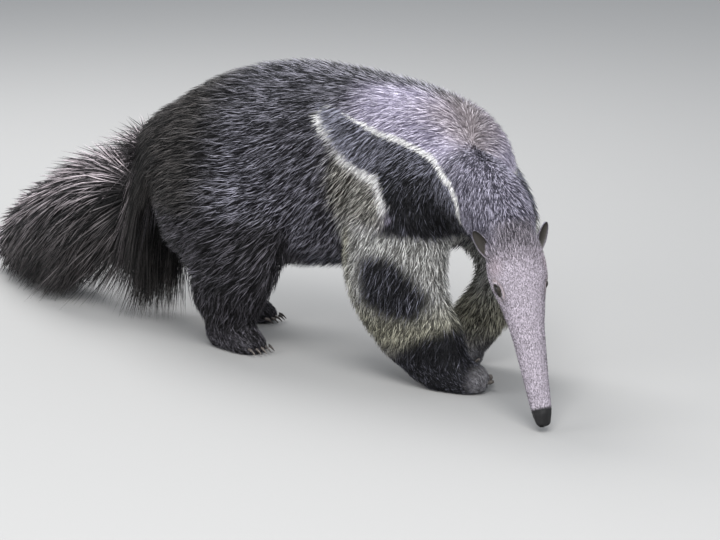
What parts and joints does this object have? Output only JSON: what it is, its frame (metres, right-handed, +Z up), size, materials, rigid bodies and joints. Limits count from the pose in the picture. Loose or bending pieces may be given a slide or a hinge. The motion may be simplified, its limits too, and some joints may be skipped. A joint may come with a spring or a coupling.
{
  "type": "giant anteater",
  "caption": "Still life-size giant anteater, standing with its long head turned aside and lowered to the ground, its bushy tail swept round to the left.",
  "frame": {"origin": "middle of the outer box, at the level of the floor", "axes": "+Z up; the animal faces -Y, its left side is +X and its tail points to +Y"},
  "size_m": [0.4556, 1.753, 0.5905],
  "materials": {
    "coat": "coarse dry hair, black to grizzled grey with a white-edged black band and pale forelegs",
    "nose": "bare black skin, slightly moist",
    "horn": "dark grey-brown horn, worn smooth",
    "eye": "dark brown, wet and glossy"
  },
  "bodies": {
    "root": {"head": "coat", "nose": "nose", "ear_R": "coat", "ear_L": "coat", "eye_R": "eye", "eye_L": "eye", "neck": "coat", "trunk_front": "coat", "trunk_middle": "coat", "trunk_rear": "coat", "tail_base": "coat", "tail_middle": "coat", "tail_end": "coat", "foreleg_upper_R": "coat", "foreleg_upper_L": "coat", "foreleg_lower_R": "coat", "foreleg_lower_L": "coat", "forefoot_R": "coat", "forefoot_L": "coat", "hindleg_upper_R": "coat", "hindleg_upper_L": "coat", "hindleg_lower_R": "coat", "hindleg_lower_L": "coat", "hindfoot_R": "coat", "hindfoot_L": "coat", "foreclaw_1_R": "horn", "foreclaw_2_R": "horn", "foreclaw_3_R": "horn", "foreclaw_4_R": "horn", "foreclaw_1_L": "horn", "foreclaw_2_L": "horn", "foreclaw_3_L": "horn", "foreclaw_4_L": "horn", "hindclaw_1_R": "horn", "hindclaw_2_R": "horn", "hindclaw_3_R": "horn", "hindclaw_4_R": "horn", "hindclaw_5_R": "horn", "hindclaw_1_L": "horn", "hindclaw_2_L": "horn", "hindclaw_3_L": "horn", "hindclaw_4_L": "horn", "hindclaw_5_L": "horn"}
  },
  "joints": []
}
